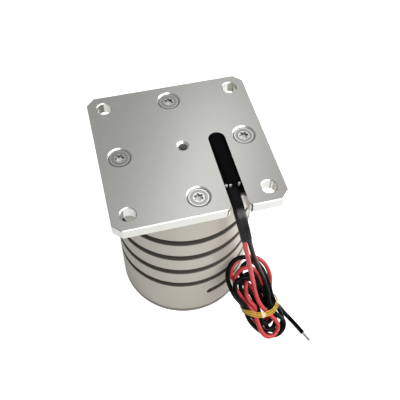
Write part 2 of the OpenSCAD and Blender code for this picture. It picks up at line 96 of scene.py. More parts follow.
# Hank: its middle in millimetres, and its directions along, across and out of the front
HANK_TURN = math.radians(26)
HANK_TILT = math.radians(50)
HANK_MIDDLE = np.array([31.29, -47.39, 23.52])
HANK_FOOT = HANK_MIDDLE * [1, 1, 0]
HANK_ALONG = np.array([
    -math.sin(HANK_TURN) * math.cos(HANK_TILT),
    math.cos(HANK_TURN) * math.cos(HANK_TILT),
    math.sin(HANK_TILT),
])
HANK_ACROSS = np.array([math.cos(HANK_TURN), math.sin(HANK_TURN), 0])
HANK_FRONT = np.cross(HANK_ACROSS, HANK_ALONG)
# Plan of the tie in the hank's directions: middle and half across, middle and half out of the front
TIE_PLAN = (-2.1, 10.7, 1.2, 5.3)
TIE_POWER = 2.35
# Course of the tie: level along the hank, fall to the right, mean of dip and rise, half their difference
TIE_LEVEL, TIE_FALL, TIE_DIP, TIE_LEAN = -2.1, 0.28, 3.5, 1.5
# Cover of the tie's clear film where it is thin and where it is thick
TIE_COVER = (0.16, 0.62)

# Blobs where the potting's pour ended, each with its place and height, and the axes of the plate's screws
POTTING_BLOBS = ((13.5, -26.9, 0.5), (15.5, -27.2, 0.6), (19.5, -27, 0.6))
SCREW_PLACES = ((30, 0), (-30, 0), (0, 30), (0, -30))

# Sleeve route and the two free ends, as in the part's source
SLEEVE_ROUTE = np.array([
    [16.2, -26.5, 103], [16.2, -34, 103], [16.1, -37.5, 102.8], [16.1, -40, 101.8], [16.4, -42, 100],
    [16.9, -43.4, 97.2], [17.7, -44.2, 93.5], [18.4, -44.4, 90], [18.9, -44.5, 87.5], [19.4, -44.55, 85],
])
SLEEVE_BEND = SLEEVE_ROUTE[4][:2]
RED_END = HANK_FOOT + np.array([
    [9.5, -0.6, 10.2], [9.7, -1.7, 6.8], [9.9, -1, 4], [10.1, 1, 2], [10.4, 3.8, 1.3], [10.7, 8, 1.3],
    [10.9, 12.5, 1.3], [11, 17, 1.3],
])
BLACK_END = HANK_FOOT + np.array([
    [10.6, -1.3, 12.8], [12.6, -1.3, 9], [14.5, -2, 5], [16.4, -3.7, 2.4], [18.4, -7.2, 1.3],
    [20.6, -11.8, 1.3], [22.8, -17.4, 1.3],
])

# Effects of the inner parts with their values, and their finishes: name, effect, dark and light colour on a
# screen, roughness, bump and its depth, metallic share and nodes
LINES = ("Turned_lines", {"Fine": 4200, "Coarse": 600, "Clouds": 40})
TURNS = ("Turned_lines", {"Fine": 3000, "Coarse": 3000, "Clouds": 90})
GRAIN = ("Grain", {"Fine": 3600, "Clouds": 160})
INNER_FINISHES = (
    ("Plated_iron", LINES, (120, 120, 122), (158, 158, 160), (0.36, 0.5), 0.1, 0.00004, 1,
     ("yoke_cup", "pole_piece")),
    ("Plated_magnet", GRAIN, (132, 130, 126), (164, 162, 158), (0.3, 0.4), 0.06, 0.00005, 1,
     ("magnet_ring",)),
    ("Bronze_bush", GRAIN, (150, 112, 64), (186, 144, 88), (0.36, 0.5), 0.1, 0.00005, 1,
     ("lower_bush", "upper_bush")),
    ("Rubber_bump", GRAIN, (24, 24, 25), (40, 40, 41), (0.66, 0.8), 0.2, 0.00005, 0, ("bump_washer",)),
    ("Former_aluminium", LINES, (176, 178, 180), (206, 208, 210), (0.36, 0.48), 0.1, 0.00004, 1,
     ("coil_former",)),
    ("Enamelled_copper", TURNS, (128, 58, 26), (188, 100, 52), (0.24, 0.36), 0.4, 0.0001, 0.85,
     ("coil_winding", "coil_tails")),
    ("Ground_steel", LINES, (188, 190, 192), (214, 216, 218), (0.14, 0.24), 0.05, 0.00002, 1,
     ("guide_shaft", "stop_ring")),
    ("Dark_steel", GRAIN, (52, 52, 54), (78, 78, 80), (0.34, 0.46), 0.08, 0.00005, 1,
     ("base_screws", "yoke_screws")),
    ("Splice_brass", GRAIN, (190, 152, 74), (220, 186, 104), (0.26, 0.38), 0.08, 0.00005, 1,
     ("lead_splices",)),
)


def paint(red, green, blue):
    """Linear colour of a screen colour given from 0 to 255: a straight line when dark, a power of 2.4
    above that."""
    x = np.array([red, green, blue]) / 255
    return tuple(np.where(x <= 0.04045, x / 12.92, ((x + 0.055) / 1.055) ** 2.4).tolist())


def length_value(label, description, default):
    """Property that holds a length in metres."""
    return bpy.props.FloatProperty(name=label, description=description, default=default, unit="LENGTH")


def colour_value(label, description, default):
    """Property that holds a colour."""
    return bpy.props.FloatVectorProperty(
        name=label, description=description, default=default, subtype="COLOR")


class MotorSizes(bpy.types.PropertyGroup):
    """Sizes of the dressed pieces, in metres."""

    tube_radius: length_value("Tube radius", "Outer radius of the spring tube", TUBE_HIGH[0])
    tube_wall: length_value("Spring wall", "Wall of the tube along the helical slot", 0.0035)
    slot_height: length_value("Slot height", "Height of the helical slot", 0.004)
    slot_low: length_value("Slot start", "Height of the slot's middle at its lower end", 0.0206)
    slot_high: length_value("Slot end", "Height of the slot's middle at its upper end", 0.085)
    slot_turns: bpy.props.FloatProperty(
        name="Slot turns", description="Number of turns of the helical slot", default=4.5)
    slot_start: bpy.props.FloatProperty(
        name="Slot start angle", description="Angle of the slot's lower end", default=math.radians(-79),
        unit="ROTATION")
    slot_edge: length_value("Broken edge", "Rounding of the slot's outer edges", 0.0003)
    lead_diameter: length_value("Lead diameter", "Diameter of a lead over its insulation", 0.0024)
    lead_gap: length_value(
        "Strand spacing", "Least distance between the middles of two strands in the hank", 0.0026)
    sleeve_wall: length_value("Sleeve wall", "Wall of the shrunk sleeve", 0.00025)
    potting_dip: length_value("Potting dip", "How far the potting lies under the plate's face", 0.00025)
    tie_width: length_value("Tie width", "Width of the tie around the hank", 0.003)
    tie_thickness: length_value("Tie thickness", "Thickness of the tie", 0.0005)
    tip_diameter: length_value("Tip diameter", "Diameter of the bare strands", 0.0015)
    tip_length: length_value("Tip length", "Length of the bare strands", 0.006)


class MotorFinishes(bpy.types.PropertyGroup):
    """Colours of the finishes."""

    plate: colour_value("Plate", "Satin aluminium of the top plate", paint(224, 225, 219))
    tube: colour_value("Tube", "Turned metal of the spring tube", paint(181, 177, 165))
    base: colour_value("Base", "Darker metal of the base plate", paint(150, 142, 134))
    red: colour_value("Red lead", "Insulation of the red lead", paint(180, 56, 58))
    black: colour_value("Black lead", "Insulation of the black lead", paint(8, 8, 9))
    tie: colour_value("Tie", "Gold-yellow tie", paint(204, 165, 44))
    potting: colour_value("Potting", "Gloss black potting", paint(5, 5, 6))
    floor: colour_value("Floor", "Pale floor of the stage", (0.9, 0.9, 0.9))


def quads(rows, cols, round_rows=False, round_cols=False):
    """Faces of a grid of points kept row by row: each joins a point, the next in its row and the two in
    the next row. A round direction joins its last line of points to its first."""
    r = np.arange(rows if round_rows else rows - 1)[:, None]
    c = np.arange(cols if round_cols else cols - 1)[None]
    near, far = r * cols, (r + 1) % rows * cols
    after = (c + 1) % cols
    return np.stack(np.broadcast_arrays(near + c, near + after, far + after, far + c), -1).reshape(-1, 4)


def put_mesh(name, points, faces, material, sharp=35.0):
    """Object made of points in millimetres and faces. Points that fall together are joined, faces turn
    outwards, and edges bent by more than the angle stay sharp."""
    mesh = bpy.data.meshes.new(name)
    mesh.from_pydata((np.asarray(points) * MM).tolist(), [], [list(f) for f in faces])
    shape = bmesh.new()
    shape.from_mesh(mesh)
    bmesh.ops.remove_doubles(shape, verts=shape.verts, dist=2e-6)
    bmesh.ops.dissolve_degenerate(shape, dist=1e-7, edges=shape.edges)
    bmesh.ops.recalc_face_normals(shape, faces=shape.faces)
    shape.to_mesh(mesh)
    shape.free()
    mesh.polygons.foreach_set("use_smooth", np.ones(len(mesh.polygons), bool))
    mesh.set_sharp_from_angle(angle=math.radians(sharp))
    mesh.materials.append(material)
    piece = bpy.data.objects.new(name, mesh)
    bpy.context.scene.collection.objects.link(piece)
    return piece


def smooth_line(points, step):
    """Points every step along a Catmull-Rom curve through the given points. Each span runs between two
    points, and its four weights come from the square roots of the distances, so it never loops or
    overshoots. The running length of the curve then spaces the points."""
    per_span = 24
    p = np.asarray(points, float)
    p = np.vstack((2 * p[0] - p[1], p, 2 * p[-1] - p[-2]))
    t = np.r_[0, np.cumsum(np.linalg.norm(np.diff(p, axis=0), axis=1) ** 0.5)]
    t0, t1, t2, t3 = (t[i:len(t) - 3 + i, None, None] for i in range(4))
    p0, p1, p2, p3 = (p[i:len(p) - 3 + i, None] for i in range(4))
    x = t1 + np.linspace(0, 1, per_span, endpoint=False)[None, :, None] * (t2 - t1)

    def between(a, b, start, end):
        return (end - x) / (end - start) * a + (x - start) / (end - start) * b

    a1, a2, a3 = between(p0, p1, t0, t1), between(p1, p2, t1, t2), between(p2, p3, t2, t3)
    line = between(between(a1, a2, t0, t2), between(a2, a3, t1, t3), t1, t2).reshape(-1, 3)
    line = np.vstack((line, p[-2:-1]))
    run = np.r_[0, np.cumsum(np.linalg.norm(np.diff(line, axis=0), axis=1))]
    k = np.linspace(0, run[-1], max(2, int(round(run[-1] / step)) + 1))
    return np.stack([np.interp(k, run, line[:, i]) for i in range(3)], 1)


def unit(directions):
    """Directions, each divided by its length."""
    return directions / np.linalg.norm(directions, axis=-1, keepdims=True)


def headings(path):
    """Unit direction at each point of a path, from the point before it to the point after it."""
    return unit(np.gradient(path, axis=0))


def turned_sides(path):
    """A direction square to the path at each of its points, carried along it with as little twist as it
    can have: each is the one before it with its share along the new heading taken off."""
    t = headings(path)
    sides = [unit(np.cross(t[0], [0.3, 0.9, 0.2]))]
    for ahead in t[1:]:
        sides.append(unit(sides[-1] - ahead * (sides[-1] @ ahead)))
    return np.array(sides)


def carried(path, sides, outline):
    """Points of an outline carried along a path: path point + first coordinate times the side + second
    coordinate times the direction square to both. The outline is one for the whole path, or one for each
    of its points."""
    up = np.cross(headings(path), sides)
    shape = np.broadcast_to(outline, (len(path),) + np.shape(outline)[-2:])
    return path[:, None] + shape[..., :1] * sides[:, None] + shape[..., 1:] * up[:, None]


def capped(points):
    """Points and faces of a tube from a grid of its rings, with a flat cap at both ends."""
    rings, around = points.shape[:2]
    faces = quads(rings, around, round_cols=True).tolist()
    faces.append(list(range(around))[::-1])
    faces.append(list(range((rings - 1) * around, rings * around)))
    return points.reshape(-1, 3), faces


def circle(radius, count):
    """Outline of a circle: radius times the cosine and the sine."""
    a = np.arange(count) / count * TURN
    return radius * np.stack((np.cos(a), np.sin(a)), 1)


def in_hank(rows):
    """Points of the shared frame from rows of distances across, along and out of the front of the hank's
    middle."""
    r = np.asarray(rows, float)
    return HANK_MIDDLE + r[:, :1] * HANK_ACROSS + r[:, 1:2] * HANK_ALONG + r[:, 2:] * HANK_FRONT


def fold(across, along, radius, start, end, front, after):
    """Rows of a fold of the hank: an arc about a point from one angle to another, while its depth goes
    evenly."""
    k = np.linspace(0, 1, num=8)
    a = np.radians(start + (end - start) * k)
    depth = front + (after - front) * k
    return np.stack((across + radius * np.cos(a), along + radius * np.sin(a), depth), 1)


def falling(side, land, sag):
    """Start of a lead: inside the sleeve beside its middle, out along its end's heading, and down to where
    it meets the hank, with a sag that is the sine of the share of the way."""
    inside, ahead = 5, 2
    run = unit(SLEEVE_ROUTE[-1] - SLEEVE_ROUTE[-2])
    first = SLEEVE_ROUTE[-1] + side * unit(np.array([1, 0, 0]) - run * run[0])
    to = in_hank([land])[0]
    k = np.array([0.15, 0.3, 0.45, 0.6, 0.75, 0.9])[:, None]
    down = first + (to - first) * k + np.array(sag) * np.sin(np.pi * k)
    return np.vstack((first - run * inside, first, first + run * ahead, down, to))


def red_points(radius):
    """Points of the red lead from the sleeve through the hank to its free end."""
    rows = np.vstack((
        [[-3.8, 4.5, 5.3], [-3.6, -0.8, 4.9], [-2.3, -5.2, 4.6], [-1.3, -8.3, 4.4], [0, -12.2, 4.2],
         [0.8, -15.9, 4]],
        fold(-3.5, -17.4, 5.4, 8, -165, 3.9, 3.6),
        [[-9.1, -12.1, 3.4], [-9.4, -7.2, 3], [-9.1, -3.6, 2.4], [-9.1, 1.4, 1.4], [-9.4, 6.6, 0.6],
         [-9.9, 11.5, 0.2], [-9.9, 15, 0], [-9, 18.8, 0], [-6.6, 20.9, 0], [-3.2, 21.3, 0], [0.4, 20.2, 0],
         [3.3, 17.9, 0], [4.7, 14.5, -0.1], [4.9, 10.9, -0.2], [4.9, 4.8, -0.4], [4.9, -1.3, -0.6],
         [5.7, -6.3, -0.8]],
        fold(-0.4, -11.2, 6.3, 8, -186, -0.9, -0.3),
        [[-6.8, -6.9, 0.8], [-6.2, -3.7, 2.2], [-6.6, -0.9, 3.1], [-7.9, 2.6, 3.1], [-8.5, 6.6, 2.4],
         [-8.2, 8.3, 1.6]],
        fold(-1.6, 8.4, 5.8, 175, 5, 0.6, -1.6),
        [[4, 3.1, -2.2], [3.6, -0.5, -2.6], [4.1, -5.2, -2.9], [5, -8.8, -3.1]],
        fold(-0.4, -10.9, 6, 5, -185, -3.3, -3.1),
        [[-5.6, -6.5, -2.6], [-3.3, -2.2, -2.8], [-1.1, 1.8, -2.9], [-0.4, 6.8, -2.9], [-2.2, 11.5, -2.6],
         [-6.9, 16, -2], [-9.2, 20.7, -1.2], [-7.2, 24.7, -0.8], [-2.3, 26.5, -0.6], [3.2, 25.1, -0.6],
         [8.5, 20.9, -0.6], [11.5, 16.3, -0.6], [12.3, 10.7, -0.6], [11.8, 5.4, -0.6], [10.6, 1.3, -0.8],
         [9.1, -3.5, -1.2], [8.7, -9.6, -2.8]],
    ))
    return np.vstack((falling(-radius, [-3.6, 8.6, 6.1], (0, 0, 0)), in_hank(rows), RED_END))


def black_points(radius):
    """Points of the black lead from the sleeve through the hank to its free end."""
    rows = np.vstack((
        [[3.9, 7.3, 5.4], [3.8, 2.6, 5], [3.1, -1.4, 4.8], [2.2, -5.1, 4.6], [2.2, -8.6, 4.4],
         [3.1, -12.7, 4], [4.6, -16.9, 3.4]],
        fold(0.4, -19.9, 6.1, 12, -150, 3, 0.8),
        [[-7.7, -16.5, 0.8], [-9.9, -12.7, 0.8], [-11.2, -8.7, 0.9], [-11.4, -5, 1], [-10.7, -1.1, 1],
         [-10.6, 2.3, 0.6], [-11, 5.3, 0.1], [-11.8, 10, -0.5], [-12.3, 14.3, -0.7], [-12.4, 18.5, -0.6],
         [-11.5, 22.9, -0.3], [-9.4, 25.8, 0], [-5.8, 27.8, 0.2], [-0.4, 27.2, 0], [4, 24.2, 0.4],
         [6.7, 19.9, 1], [8.1, 14.7, 1.6], [8.1, 10.3, 2], [7.6, 5.4, 2.2], [6.9, 0.9, 2.2],
         [6, -3.3, 2.2], [5.3, -7.2, 2], [6, -11.4, 1.4], [7.4, -15.3, 0.6]],
        fold(2.4, -18.7, 5.6, 15, -185, 0.4, 0.6),
        [[-4.2, -14, 1], [-5.7, -10.1, 1.2], [-7.7, -6.3, 1.6], [-9.5, -2.4, 2.3], [-10.7, 1.8, 2.8],
         [-11.9, 6.2, 2.8], [-12.7, 10.2, 2.8]],
        fold(-7.6, 13.8, 5.2, 178, 60, 2.8, 2.8),
        [[-2.6, 15.7, 2.6], [-0.1, 11.8, 2.4], [1.9, 8.4, 2.2], [2.8, 4.6, 2.2], [2.8, -1, 2.2],
         [3.7, -5.2, 1.9]],
        fold(-1.1, -8.8, 6.3, 5, -185, 1.7, 1.5),
        [[-5.6, -6.3, 0.8], [-3.9, -2.5, 0.2], [-3.2, 1, 0], [-3.4, 5.8, -0.4], [-3.9, 10.6, -1]],
        fold(1.9, 15.8, 5.8, 185, -5, -1.4, -1.6),
        [[6.9, 10.5, -1.2], [5.5, 4.7, -0.6], [3.8, 0, 0], [3.1, -4.9, 0.2], [3.2, -9.3, 0.8]],
        fold(-1.9, -13.8, 6.2, 8, -186, 1, 1),
        [[-6.9, -9.5, 1.2], [-6.1, -4.7, 0.6], [-5.8, 0.2, 0.4], [-7, 5.3, 0.8], [-8.3, 9.5, 1.2]],
        fold(-2.7, 11.8, 5.8, 180, 5, 1.4, 0.6),
        [[2.9, 7.1, 0.2], [1.8, 3, 0], [1.3, -2.1, -0.2], [2.4, -6.3, -0.6], [5.2, -10.3, -1.6]],
    ))
    return np.vstack((falling(radius, [4.1, 12.5, 6.4], (-0.8, 0.8, 0)), in_hank(rows), BLACK_END))


def tie_level(across, s):
    """How far along the hank the tie lies: it falls to the right, and dips at the front and rises at the
    back with the square of the sine of the way round."""
    dip = s * np.abs(s) * (TIE_DIP + TIE_LEAN * np.sign(s))
    return TIE_LEVEL - TIE_FALL * (across - TIE_PLAN[0]) - dip


def tie_pull(points):
    """Moves that bring points near the tie's level back into its oval, taken smaller by the half of a
    strand."""
    inset, reach, least = 1.5, 2.5, 1e-6
    q = points - HANK_MIDDLE
    u, h = q @ HANK_ACROSS - TIE_PLAN[0], q @ HANK_FRONT - TIE_PLAN[2]
    level = tie_level(u + TIE_PLAN[0], np.clip(h / TIE_PLAN[3], -1, 1))
    wide, deep = np.abs(u) / (TIE_PLAN[1] - inset), np.abs(h) / (TIE_PLAN[3] - inset)
    share = wide ** TIE_POWER + deep ** TIE_POWER
    back = np.minimum(1, np.maximum(share, least) ** (-1 / TIE_POWER)) - 1
    back *= np.exp(-((q @ HANK_ALONG - level) / reach) ** 2)
    return (u * back)[:, None] * HANK_ACROSS + (h * back)[:, None] * HANK_FRONT


def settled(routes, gap, keep_out, lowest):
    """Lays strands beside each other. In each round every point moves away from points of other strands,
    or of its own strand further on, that are nearer than the gap, less so in the last rounds; a share of
    the change of bend between neighbours is taken out, and so is any bend tighter than the least radius;
    and points go back inside the tie, above the surface and outside the tube. The tops and the free ends
    stay where the solids are."""
    step, rounds, tightest, tiny = 1.5, 200, 6.0, 1e-9
    own_reach, top_reach, top_held, end_reach = 3.2 * gap, 20, 0.6, 12
    push_share, push_most, push_calm = 0.3, 0.4, 2.5
    kink_share, bend_share, tie_share, home_share = 0.35, 0.25, 0.5, 0.01
    sets = [smooth_line(r, step) for r in routes]
    home = np.vstack(sets)
    p = home.copy()
    counts = [len(s) for s in sets]
    strand = np.repeat(np.arange(len(sets)), counts)
    place = np.concatenate([np.arange(n) for n in counts])
    after = np.concatenate([np.arange(n)[::-1] for n in counts])
    own = (strand[:, None] == strand[None]) & (np.abs(place[:, None] - place[None]) * step < own_reach)
    loose = np.minimum(place * step / top_reach - top_held, after * step / end_reach)
    loose = np.clip(loose, 0, 1)[:, None]
    inner = np.flatnonzero((place > 0) & (after > 0))
    deep = np.flatnonzero((place > 1) & (after > 1))
    most = step * step / (2 * tightest)
    for turn in range(rounds):
        apart = p[:, None] - p[None]
        far = np.linalg.norm(apart, axis=2) + tiny
        short = np.clip(gap - far, 0, None)
        short[own] = 0
        push = (apart / far[..., None] * short[..., None]).sum(1) * push_share
        length = np.linalg.norm(push, axis=1, keepdims=True)
        push *= np.minimum(1, push_most / (length + tiny)) * min(1, push_calm * (1 - turn / rounds))
        p = p + push * loose
        bow = np.zeros_like(p)
        bow[inner] = (p[inner - 1] + p[inner + 1]) / 2 - p[inner]
        kink = np.zeros_like(p)
        kink[deep] = (bow[deep - 1] + bow[deep + 1]) / 2 - bow[deep]
        p -= kink_share * kink * loose
        bent = np.linalg.norm(bow, axis=1, keepdims=True)
        p += bend_share * bow * np.clip(1 - most / (bent + tiny), 0, 1) * loose
        p += tie_share * tie_pull(p) * loose
        p += home_share * (home - p)
        p[:, 2] = np.maximum(p[:, 2], lowest)
        reach = np.hypot(p[:, 0], p[:, 1])
        p[:, :2] *= (np.maximum(reach, keep_out) / reach)[:, None]
    return [p[strand == i] for i in range(len(sets))]


def spring_tube_shape(size):
    """Points and faces of the spring tube. Angle and height turn into one long strip that winds round the
    tube: its lower edge at an angle is the top of the slot one turn before, and its upper edge is the
    bottom of the slot at that angle, so neighbouring windings share an edge where the slot has ended. Half
    the slot's height is the greater of half the slot and of the round relief hole at each end. Rings
    turned from a profile close the strip below and above, and walls join the outer and inner faces where
    the slot is open."""
    radius, half = size.tube_radius / MM, size.slot_height / MM / 2
    inside = radius - size.tube_wall / MM
    low, high = TUBE_LOW[2] / MM, TUBE_HIGH[2] / MM
    first, last = size.slot_low / MM, size.slot_high / MM
    start, end = size.slot_start, size.slot_start + size.slot_turns * TURN
    rise = (last - first) / (end - start)
    columns, tiny, ledge, wider = 360, 1e-5, 1, 0.2
    ledge_low, ledge_high = first - half - ledge, last + half + ledge
    relief = half + wider

    def middle(angle):
        return first + rise * (angle - start)

    def opening(angle):
        past, before = radius * (angle - start), radius * (end - angle)
        holes = np.sqrt(np.clip(relief ** 2 - np.minimum(past ** 2, before ** 2), 0, None))
        return np.maximum(holes, half * ((past >= 0) & (before >= 0)))

    near = np.array([-1, -0.98, -0.9, -0.75, -0.5, -0.25, 0, 0.2, 0.4, 0.7, 1]) * relief / radius
    tips = [start + (ledge_low - first) / rise, start + (ledge_high - first) / rise]
    even = start + np.arange(columns) / columns * TURN
    turn = np.unique(np.mod(np.r_[even, start + near, end - near, tips], TURN).round(7))
    turn = turn[np.r_[True, np.diff(turn) > 2 * tiny]]
    windings = np.arange(-2, 9)
    wind = (turn + windings[:, None] * TURN).ravel()
    wind = wind[(wind > tips[0] - tiny) & (wind < tips[1] + TURN + tiny)]
    below, above = opening(wind - TURN), opening(wind)
    bottom = np.clip(middle(wind - TURN) + below, ledge_low, ledge_high)
    top = np.clip(middle(wind) - above, ledge_low, ledge_high)
    tall = np.maximum(top - bottom, 0)
    edge = size.slot_edge / MM
    step = np.minimum(edge, tall / 4)
    drop_low, drop_high = (step * np.clip(o, 0, 1) for o in (below, above))
    share = np.array([0, 0.2, 0.4, 0.6, 0.8, 1])
    rows = bottom + step + (tall - 2 * step) * share[:, None]
    height = np.vstack((bottom, rows, top, top, (top + bottom) / 2, bottom))
    out = np.vstack((radius - drop_low, np.full_like(rows, radius), radius - drop_high,
                     np.full((3, len(wind)), inside)))
    strip = np.stack((out * np.cos(wind), out * np.sin(wind), height), -1)
    lines, cols = height.shape
    grid = quads(lines, cols, round_rows=True).reshape(lines, cols - 1, 4)
    wall_high, wall_low = len(rows) + 1, lines - 1
    faces = [grid[:wall_high].reshape(-1, 4), grid[wall_high + 1:wall_low].reshape(-1, 4)]
    faces.append(grid[wall_high][(above[1:] > 0) | (above[:-1] > 0)])
    faces.append(grid[wall_low][(below[1:] > 0) | (below[:-1] > 0)])
    points, count = [strip.reshape(-1, 3)], lines * cols
    collar, upper, recess, broken, band, lip = 28.5, 26.0, inside + 0.5, 0.5, 5, 3
    profiles = (
        [[radius, ledge_low], [radius, low + band], [radius, low + broken], [radius - broken, low],
         [collar, low], [collar, ledge_low], [inside, ledge_low]],
        [[inside, ledge_high], [upper, ledge_high], [upper, high - lip], [recess, high - lip],
         [recess, high], [radius - broken, high], [radius, high - broken], [radius, high - band],
         [radius, ledge_high]],
    )
    for profile in profiles:
        r, z = np.array(profile).T[..., None]
        ring = np.stack(np.broadcast_arrays(r * np.cos(turn), r * np.sin(turn), z), -1)
        faces.append(quads(len(profile), len(turn), round_cols=True) + count)
        points.append(ring.reshape(-1, 3))
        count += ring.shape[0] * ring.shape[1]
    return np.vstack(points), np.vstack(faces).tolist()


def sleeve_shape(lead, wall):
    """Points and faces of the shrunk sleeve. Its outline is a flat oval, the powers 0.75 of a cosine and a
    sine, drawn in a little between the two leads. It is carried along the route, turns in at the lower end
    and goes back up inside."""
    around, power, pinch, pinch_half = 40, 0.75, 0.12, 0.7
    path = smooth_line(SLEEVE_ROUTE, step=0.5)
    t = headings(path)
    side = unit(np.array([1.0, 0, 0]) - t * t[:, :1])
    c, s = circle(1, around).T
    wide, deep = lead + wall, lead / 2 + wall
    x = wide * np.sign(c) * np.abs(c) ** power
    y = deep * np.sign(s) * np.abs(s) ** power * (1 - pinch * np.exp(-(x / pinch_half) ** 2))

    def rings(walls):
        outline = np.stack((x * (1 - wall * walls / wide), y * (1 - wall * walls / deep)), 1)
        return carried(path, side, outline)

    back = slice(None, -9, -2)
    return capped(np.concatenate((rings(walls=0)[:-1], rings(walls=0.4)[-1:], rings(walls=1.3)[back])))


def potting_shape(dip):
    """Points and faces of the potting. At each place along the slot its section is a flat floor, two walls
    and a top that climbs the walls by the fourth power of the distance from the middle, slumps by a square
    root towards the front, and carries three low blobs, each a bell curve, where the pour ended."""
    centre, wide, end, front_end, clear = 16.7, 4.08, 0.4, -28.4, 0.05
    slump_reach, slump_depth, climb_height, blob_spread = 2.6, 5.6, 0.22, 0.9
    plate_low, plate_high = PLATE_LOW[2] / MM, PLATE_HIGH[2] / MM
    round_end = end + wide * np.sin(np.linspace(0.02, 1.55, 16))
    y = np.r_[np.linspace(front_end, -24, 28), np.linspace(-23.4, 0, 40), round_end][:, None]
    half = np.sqrt(np.clip(wide ** 2 - np.clip(y - end, 0, None) ** 2, 0.01, None))
    s = np.linspace(-1, 1, 29)[None]
    x = centre + half * s
    front = np.clip((y - front_end) / slump_reach, 0, 1)
    slump = slump_depth * (1 - np.sqrt(np.clip(1 - (1 - front) ** 2, 0, 1)))
    climb = climb_height * np.abs(s) ** 4 * (0.4 + 0.6 * front)
    top = plate_high - dip - slump + climb
    for at_x, at_y, tall in POTTING_BLOBS:
        top = top + tall * np.exp(-((x - at_x) ** 2 + (y - at_y) ** 2) / blob_spread)
    top = np.minimum(top, plate_high - clear)
    under = np.linspace(1, -1, 7)[None]
    floor = np.broadcast_arrays(centre + half * under, y, plate_low + clear)
    return capped(np.concatenate((np.stack(np.broadcast_arrays(x, y, top), -1), np.stack(floor, -1)), 1))


def tie_shape(width, thickness):
    """Points, faces and thick points of the tie: a loop round the hank whose plan is an oval, the cosine
    and the sine each to one power, at the level that the front shows, with an outline that is thick at
    both edges and along its middle, where the wire lies, carried round it."""
    around, waver = 96, 0.3
    a = np.arange(around) / around * TURN
    c, s = np.cos(a), np.sin(a)
    across = TIE_PLAN[0] + TIE_PLAN[1] * np.sign(c) * np.abs(c) ** (2 / TIE_POWER)
    out = TIE_PLAN[2] + TIE_PLAN[3] * np.sign(s) * np.abs(s) ** (2 / TIE_POWER)
    along = tie_level(across, s) + waver * np.sin(3 * a + 0.7)
    loop = in_hank(np.stack((across, along, out), 1))
    t = unit(np.roll(loop, -1, 0) - np.roll(loop, 1, 0))
    lean = unit(HANK_ALONG - t * (t @ HANK_ALONG)[:, None])
    face = np.cross(t, lean)
    w, h = width / 2, thickness / 2
    left = np.array([-w, -w + 0.2, -w + 0.45, -w + 0.65, -0.45, -0.2])
    share = np.array([0.6, 1, 1, 0.35, 0.35, 1])
    half = np.stack((np.r_[left, -left[::-1]], -h * np.r_[share, share[::-1]]), 1)
    outline = np.vstack((half, -half))
    points = loop[:, None] + outline[None, :, :1] * lean[:, None] + outline[None, :, 1:] * face[:, None]
    thick = np.tile(np.abs(outline[:, 1]) > h / 2, len(loop)).astype(float)
    return points.reshape(-1, 3), quads(len(loop), len(outline), True, True).tolist(), thick


def tip_shape(route, diameter, length):
    """Points and faces of the bare strands: a seven-lobed outline, the radius times a core share plus a
    lobe share of the size of the cosine of three and a half times the angle, that turns as it goes along
    and narrows by the square of the way through its last part."""
    rings, around, inside, twist = 24, 56, 0.6, 2.4
    core, lobe, narrow, late, last = 0.86, 0.14, 0.25, 0.93, 0.07
    run = unit(route[-1] - route[-2])
    k = np.linspace(0, 1, rings)
    path = route[-1] + run * (k[:, None] * (length + inside) - inside)
    a = np.arange(around) / around * TURN
    lobes = diameter / 2 * (core + lobe * np.abs(np.cos(3.5 * a)))
    spun = a[None] + twist * k[:, None]
    wide = (1 - narrow * np.clip((k - late) / last, 0, 1) ** 2)[:, None]
    outline = np.stack((lobes * wide * np.cos(spun), lobes * wide * np.sin(spun)), -1)
    return capped(carried(path, turned_sides(path), outline))


def feed(tree, socket, value):
    """Links another node's output to a socket, or sets the socket to a plain value."""
    if isinstance(value, bpy.types.NodeSocket):
        tree.links.new(value, socket)
    else:
        socket.default_value = value


def add_node(tree, kind, inputs=None, **settings):
    """New shader node of a kind with its settings, each input of which, by name or number, is fed."""
    node = tree.nodes.new("ShaderNode" + kind)
    for label, value in settings.items():
        setattr(node, label, value)
    for label, value in (inputs or {}).items():
        feed(tree, node.inputs[label], value)
    return node


def math_of(tree, operation, *values):
    """Node output of an operation on some numbers."""
    return add_node(tree, "Math", dict(enumerate(values)), operation=operation).outputs[0]


def sum_of(tree, a, share_a, b, share_b):
    """Node output of a times its share plus b times its share."""
    return math_of(tree, "MULTIPLY_ADD", b, share_b, math_of(tree, "MULTIPLY", a, share_a))


def noise_of(tree, place, scale, detail=2):
    """Node output of noise at a place, with its scale and detail."""
    return add_node(tree, "TexNoise", {"Vector": place, "Scale": scale, "Detail": detail}).outputs[0]


def ranged(tree, value, span, to=(0, 1)):
    """Node output that goes from one value to another while the given one goes over its span."""
    limits = {"Value": value, "From Min": span[0], "From Max": span[1], "To Min": to[0], "To Max": to[1]}
    return add_node(tree, "MapRange", limits).outputs[0]


def nearest_of(tree, places):
    """Node output of the distance, in plan, from a point of the surface to the nearest of some places."""
    place = add_node(tree, "TexCoord").outputs["Object"]
    plan = add_node(tree, "VectorMath", {0: place, 1: (1, 1, 0)}, operation="MULTIPLY").outputs[0]
    nearest = None
    for x, y in places:
        spot = (x * MM, y * MM, 0)
        away = add_node(tree, "VectorMath", {0: plan, 1: spot}, operation="DISTANCE").outputs["Value"]
        nearest = away if nearest is None else math_of(tree, "MINIMUM", nearest, away)
    return nearest


